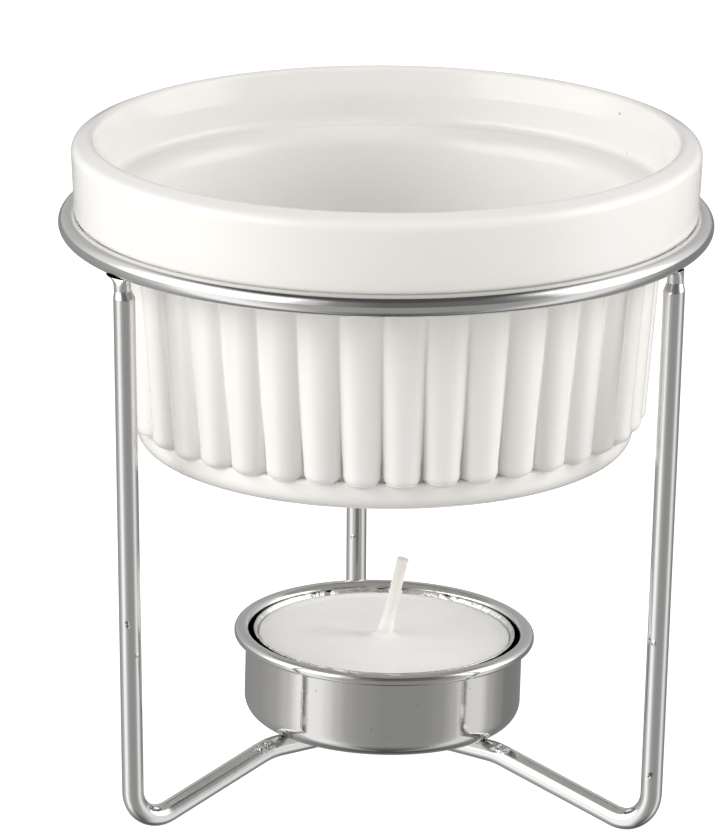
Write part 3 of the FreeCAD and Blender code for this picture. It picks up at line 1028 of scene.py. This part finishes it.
@dataclass
class Tealight:
    """Foil cup with wax and a wick.

    Each crumple of the foil's rim is a strength, an azimuth and a spread, in degrees.
    """

    diameter: float = 38.3
    height: float = 12.4
    foil: float = 0.3
    corner: float = 1.8
    lip_width: float = 0.4
    lip_height: float = 0.7
    wax_below_rim: float = 0.9
    wax_gap: float = 0.02
    wax_sink: float = 0.03
    meniscus_height: float = 0.35
    meniscus_width: float = 1.2
    collar_height: float = 0.9
    collar_spread: float = 0.5
    collar_reach: float = 3.5
    ripple_seeds: tuple[int, int] = (31, 32)
    ripple: float = 0.035
    ripple_length: float = 7.0
    fine_ripple: float = 0.012
    fine_ripple_length: float = 2.2
    wick_diameter: float = 1.8
    wick_length: float = 11.9
    wick_lean: float = 11.5
    wick_towards: float = 355.0
    wick_bend: float = 4.0
    wick_foot: float = 0.42
    wick_foot_height: float = 4.2
    wick_sides: int = 36
    braid_pitch: float = 3.4
    braid_depth: float = 0.12
    fuzz: float = 0.035
    fuzz_length: float = 0.5
    fuzz_seed: int = 41
    seat: float = 9.37
    crease_seeds: tuple[int, int] = (21, 22)
    crease_length: float = 1.8
    crease_depth: float = 0.12
    crease_patch: float = 9.0
    crease_drop: float = 0.8
    crumple_depth: float = 1.1
    crumples: tuple[tuple[float, float, float], ...] = (
        (1.0, 84, 9), (1.0, 116, 11), (1.2, -152, 12), (0.7, -128, 9), (0.6, 48, 9))
    columns: int = 360

    def __post_init__(self) -> None:
        """Works out the heights."""
        self.rim = self.seat + self.height
        self.wax_top = self.rim - self.wax_below_rim
        self.outer = self.diameter / 2 - self.lip_width
        self.inner = self.outer - self.foil

    def build_foil(self, tray: Tray, foil: bpy.types.Material) -> None:
        """Builds the foil cup, with a rim that is creased in places.

        Args:
            tray: The tray that it stands in.
            foil: Its finish.
        """
        lip_bottom = self.rim - self.lip_height
        line = rounded_line([
            edge(0, self.seat, 0, 5),
            edge(self.outer, self.seat, self.corner, 1),
            edge(self.outer, lip_bottom, self.foil, 0.2),
            edge(self.diameter / 2, lip_bottom + self.lip_width, 0.1, 0.15),
            edge(self.diameter / 2, self.rim, 0.12, 0.2),
            edge(self.diameter / 2 - self.foil, self.rim, 0.12, 0.2),
            edge(self.inner, lip_bottom, 0.2, 1),
            edge(self.inner, self.seat + self.foil, self.corner - self.foil, 5),
            edge(0, self.seat + self.foil),
        ], turn_step=18)
        grid = turned(line, self.columns)
        height = grid[..., 2]
        angle = np.arctan2(grid[..., 1], grid[..., 0])
        flat = np.stack([self.outer * np.cos(angle), self.outer * np.sin(angle), 0 * angle], axis=-1)
        fine, broad = self.crease_seeds
        patches = 0.5 + 0.5 * Unevenness(broad, self.crease_patch).at(flat)
        creases = Unevenness(fine, self.crease_length).at(flat) * patches
        rim_share = np.clip((height - lip_bottom + 1.2) / 1.6, 0, 1) ** 2
        crumple = sum(
            size * np.exp(-((np.degrees(angle) - middle) / spread) ** 2)
            for size, middle, spread in self.crumples)
        push = (self.crease_depth + self.crumple_depth * crumple) * creases * rim_share
        outward = grid * np.array([1, 1, 0]) / np.maximum(np.hypot(grid[..., 0], grid[..., 1]), 1)[..., None]
        grid = grid - outward * np.abs(push)[..., None]
        grid[..., 2] -= np.abs(self.crease_drop * push)
        dress(surface("foil_cup", grid, lean=tray.leaned()), foil, "tealight_shell")

    def build_wax(self, tray: Tray, wax: bpy.types.Material) -> None:
        """Builds the wax, drawn up at the foil and round the wick.

        Args:
            tray: The tray that the tealight stands in.
            wax: Its finish.
        """
        floor = self.seat + self.foil + self.wax_gap
        wall = self.inner - self.wax_gap
        line = rounded_line([
            edge(0, floor, 0, 6),
            edge(wall, floor, self.corner - self.foil, 2),
            edge(wall, self.wax_top + self.meniscus_height, 0, 0.3),
            edge(self.inner - self.meniscus_width, self.wax_top, self.meniscus_width, 0.7),
            edge(self.collar_reach, self.wax_top, 0, 0.16),
            edge(0, self.wax_top),
        ], turn_step=6)
        grid = turned(line, self.columns)
        height = grid[..., 2]
        out = np.hypot(grid[..., 0], grid[..., 1])
        top = (height > self.wax_top - 0.3).astype(float)
        rise = self.collar_height * np.exp(-np.maximum(out - self.wick_diameter / 2 - 0.2, 0) / self.collar_spread)
        coarse, fine = self.ripple_seeds
        ripple = self.ripple * Unevenness(coarse, self.ripple_length).at(grid)
        ripple += self.fine_ripple * Unevenness(fine, self.fine_ripple_length).at(grid)
        grid[..., 2] += top * (rise + np.where(out < self.inner - 1, ripple, 0.3 * ripple) - self.wax_sink)
        dress(surface("wax", grid, lean=tray.leaned()), wax, "tealight_wax")

    def build_wick(self, tray: Tray, cotton: bpy.types.Material) -> None:
        """Builds the braided wick from the tab to its cut end.

        Args:
            tray: The tray that the tealight stands in.
            cotton: Its finish.
        """
        turn = Vector((0, 0, self.wax_top))
        reach = self.wick_length * math.tan(math.radians(self.wick_lean))
        tip = turn + around(reach, self.wick_towards, self.wick_length)
        path = rounded_line([
            Corner(Vector((0, 0, self.seat + self.foil)), 0, 0.6),
            Corner(turn, self.wick_bend, 0.14),
            Corner(tip),
        ], turn_step=1.5)
        radius = self.wick_diameter / 2
        ends = [(0.0, radius * 0.8), (0.0, radius * 0.4), (0.0, 0.0)]
        points = path + [path[-1].copy() for _ in ends]
        above = np.array([(point - turn).length if point.z > turn.z else 0 for point in path])
        waxed = self.wick_foot * np.clip(1 - above / self.wick_foot_height, 0, 1) ** 1.3
        radii = np.concatenate([radius * 0.98 + waxed, [size for _, size in ends]])
        grid = swept(points, radii, radii, SIDEWAYS, self.wick_sides)
        rows, columns, _ = grid.shape
        step = np.array([0.0] + [(points[i + 1] - points[i]).length for i in range(rows - 1)])
        along = np.cumsum(step)[:, None]
        angle = np.linspace(0, 2 * math.pi, columns, endpoint=False)[None, :]
        twist = 2 * math.pi * along / self.braid_pitch
        braid = 0.5 * np.abs(np.sin(1.5 * (angle + twist))) + 0.5 * np.abs(np.sin(1.5 * (angle - twist)))
        fuzz = Unevenness(self.fuzz_seed, self.fuzz_length).at(grid)
        centres = np.array([point[:] for point in points])[:, None, :]
        scale = 1 - self.braid_depth * (1 - braid) + self.fuzz * fuzz
        grid = centres + (grid - centres) * np.minimum(scale, 1.02)[..., None]
        dress(surface("braided_wick", grid, lean=tray.leaned()), cotton, "wick")


# Studio


@dataclass(frozen=True)
class SoftBox:
    """Lamp that faces the object: its place in metres, its width and height in metres and its power in watts."""

    name: str
    place: tuple[float, float, float]
    width: float
    height: float
    power: float


@dataclass
class Studio:
    """Pale floor, soft lamps and the camera at the photograph's angle.

    The two rings give the greys that the metal sees round the object, below and above the horizon,
    by degrees from the camera's side.
    """

    image_width: int = 720
    image_height: int = 831
    focal_pixels: float = 5659.5
    distance: float = 820.1
    elevation: float = 17.09
    azimuth: float = -5.0
    roll: float = 0.455
    aim_right: float = -3.53
    aim_height: float = 54.52
    sensor: float = 36.0
    floor_half: float = 4.0
    floor_depth: float = 0.00002
    floor_colour: Colour = (0.55, 0.55, 0.54, 1.0)
    floor_lift: float = 0.82
    white: Colour = (1.0, 1.0, 1.0, 1.0)
    ceiling: Colour = (0.09, 0.09, 0.09, 1.0)
    fill_low: Colour = (0.66, 0.65, 0.635, 1.0)
    fill_high: Colour = (0.23, 0.228, 0.224, 1.0)
    fill_rise: tuple[float, float] = (0.1, 0.75)
    horizon: tuple[float, float] = (-0.04, 0.06)
    ceiling_rise: tuple[float, float] = (0.62, 0.92)
    underfoot: tuple[float, float] = (-1.0, -0.78)
    underfoot_share: float = 0.3
    lamps: tuple[SoftBox, ...] = (
        SoftBox("left_soft_box", (-0.62, -0.22, 0.40), 0.6, 0.5, 3.9),
        SoftBox("right_soft_box", (0.64, -0.10, 0.40), 0.34, 0.45, 3.2),
        SoftBox("left_low_box", (-0.74, -0.50, 0.05), 0.5, 0.12, 1.2),
        SoftBox("right_low_box", (0.74, -0.50, 0.05), 0.5, 0.12, 1.5),
    )
    table_ring: dict[int, float] = field(default_factory=lambda: {
        -180: 0.28, -131: 0.40, -108: 0.50, -92: 0.72, -78: 1.25, -60: 1.2, -52: 0.98, -44: 0.70,
        -34: 0.50, -24: 0.42, -5: 0.36, 28: 0.36, 45: 0.42, 56: 0.60, 65: 0.95, 84: 0.98,
        96: 0.55, 108: 0.38, 120: 0.27, 180: 0.26})
    boxes_ring: dict[int, float] = field(default_factory=lambda: {
        -180: 0.5, -150: 0.6, -120: 0.95, -92: 2.4, -46: 2.4, -34: 0.8, -22: 0.28, -5: 0.16,
        35: 0.18, 50: 0.36, 60: 1.2, 68: 2.4, 96: 2.4, 120: 0.95, 150: 0.6, 180: 0.5})

    def build_camera(self) -> None:
        """Makes the camera."""
        data = bpy.data.cameras.new("camera")
        data.sensor_width = self.sensor
        data.lens = self.focal_pixels * self.sensor / max(self.image_width, self.image_height)
        data.clip_start = 0.05
        data.clip_end = 20
        camera = bpy.data.objects.new("camera", data)
        turn = Matrix.Rotation(math.radians(self.azimuth), 3, "Z")
        rise = math.radians(self.elevation)
        back = Vector((0, -math.cos(rise), math.sin(rise)))
        aim = Vector((self.aim_right, 0, self.aim_height))
        level_up = SIDEWAYS.cross(-back)
        tilt = math.radians(self.roll)
        across = SIDEWAYS * math.cos(tilt) + level_up * math.sin(tilt)
        upward = level_up * math.cos(tilt) - SIDEWAYS * math.sin(tilt)
        axes = turn @ Matrix((across, upward, back)).transposed()
        camera.matrix_world = Matrix.Translation(turn @ (aim + back * self.distance) * MM) @ axes.to_4x4()
        bpy.context.scene.collection.objects.link(camera)
        bpy.context.scene.camera = camera

    def build_floor(self) -> None:
        """Makes the pale floor, which renders white and keeps a faint shadow."""
        mesh = bpy.data.meshes.new("floor")
        half, low = self.floor_half, -self.floor_depth
        mesh.from_pydata([(-half, -half, low), (half, -half, low), (half, half, low), (-half, half, low)],
                         [], [(0, 1, 2, 3)])
        floor = bpy.data.objects.new("floor", mesh)
        bpy.context.scene.collection.objects.link(floor)
        sheet = Sheet("pale_floor", Base_Color=self.floor_colour, Roughness=1.0, Specular_IOR_Level=0.0,
                      Emission_Color=self.white)
        seen = sheet.add("LightPath", {})["Is Camera Ray"]
        lift = sheet.add("Math", {0: seen, 1: self.floor_lift}, operation="MULTIPLY")["Value"]
        sheet.feed(sheet.shader["Emission Strength"], lift)
        mesh.materials.append(sheet.material)
        floor.visible_glossy = False

    def build_lamp(self, box: SoftBox) -> None:
        """Makes a soft box."""
        data = bpy.data.lights.new(box.name, "AREA")
        data.shape = "RECTANGLE"
        data.size = box.width
        data.size_y = box.height
        data.energy = box.power
        lamp = bpy.data.objects.new(box.name, data)
        lamp.visible_glossy = False
        lamp.location = box.place
        towards = Vector((0, 0, 0.05)) - Vector(box.place)
        lamp.rotation_euler = towards.to_track_quat("-Z", "Y").to_euler()
        bpy.context.scene.collection.objects.link(lamp)

    def ring(self, nodes: Nodes, share: bpy.types.NodeSocket, stops: dict[int, float]) -> bpy.types.NodeSocket:
        """Makes a ring of greys round the object.

        Args:
            nodes: Nodes of the world.
            share: Place round the ring, from 0 to 1, with the camera's side at the middle.
            stops: Grey at each angle, in degrees from the camera's side.

        Returns:
            The socket of the grey.
        """
        node = nodes.tree.nodes.new("ShaderNodeValToRGB")
        node.color_ramp.interpolation = "EASE"
        elements = node.color_ramp.elements
        for degrees, grey in stops.items():
            position = (degrees + 180) / 360
            element = elements[0] if degrees == -180 else elements[-1] if degrees == 180 else elements.new(position)
            element.position = position
            element.color = (grey, grey, grey, 1.0)
        nodes.feed(node.inputs["Fac"], share)
        return node.outputs["Color"]

    def build_world(self) -> None:
        """Makes the surroundings: white to the camera, a studio with darker sides to the metal."""
        world = bpy.data.worlds.new("studio")
        bpy.context.scene.world = world
        world.use_nodes = True
        nodes = Nodes(world.node_tree)
        path = nodes.add("LightPath", {})
        place = nodes.add("SeparateXYZ", {"Vector": nodes.add("TexCoord", {})["Generated"]})
        flipped = nodes.add("Math", {0: place["Y"], 1: -1.0}, operation="MULTIPLY")["Value"]
        bearing = nodes.add("Math", {0: place["X"], 1: flipped}, operation="ARCTAN2")["Value"]
        share = nodes.add("MapRange", {"Value": bearing, "From Min": -math.pi, "From Max": math.pi})["Result"]

        def rise(heights: tuple[float, float]) -> bpy.types.NodeSocket:
            """Share that grows softly from 0 to 1 between two heights of the direction."""
            inputs = {"Value": place["Z"], "From Min": heights[0], "From Max": heights[1]}
            return nodes.add("MapRange", inputs, interpolation_type="SMOOTHSTEP")["Result"]

        underfoot = nodes.add("MapRange", {
            "Value": place["Z"], "From Min": self.underfoot[0], "From Max": self.underfoot[1],
            "To Min": self.underfoot_share, "To Max": 1.0})["Result"]
        table = nodes.add("VectorMath", {
            0: self.ring(nodes, share, self.table_ring), "Scale": underfoot}, operation="SCALE")["Vector"]
        boxes = self.ring(nodes, share, self.boxes_ring)
        metal_sees = nodes.mixed(rise(self.horizon), table, boxes)
        metal_sees = nodes.mixed(rise(self.ceiling_rise), metal_sees, self.ceiling)
        fill = nodes.mixed(rise(self.fill_rise), self.fill_low, self.fill_high)
        whole = nodes.mixed(path["Is Glossy Ray"], fill, metal_sees)
        whole = nodes.mixed(path["Is Camera Ray"], whole, self.white)
        nodes.feed(nodes.tree.nodes["Background"].inputs["Color"], whole)

    def build(self) -> None:
        """Makes the whole studio."""
        self.build_camera()
        self.build_floor()
        self.build_world()
        for box in self.lamps:
            self.build_lamp(box)
        bpy.context.scene.view_settings.view_transform = "Standard"


def main() -> None:
    """Builds the butter warmer, its finishes and its studio."""
    logging.basicConfig(level=logging.INFO, format="%(message)s")
    build_specks()
    build_clouds()
    build_lines()
    build_spot()
    glaze = Glaze().material()
    chrome = Chrome().material()
    tray = Tray()
    stand = Stand()
    tealight = Tealight()
    Ramekin().build(glaze)
    stand.build_hoop(chrome)
    for leg in stand.legs:
        stand.build_leg(leg, tray, chrome)
    tray.build(DrawnSheet().material())
    tealight.build_foil(tray, Foil().material())
    tealight.build_wax(tray, Wax().material())
    tealight.build_wick(tray, Cotton().material())
    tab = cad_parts["wick_tab"]
    tab.data.materials.clear()
    tab.data.materials.append(Tin().material())
    Studio().build()


if __name__ == "__main__":
    main()
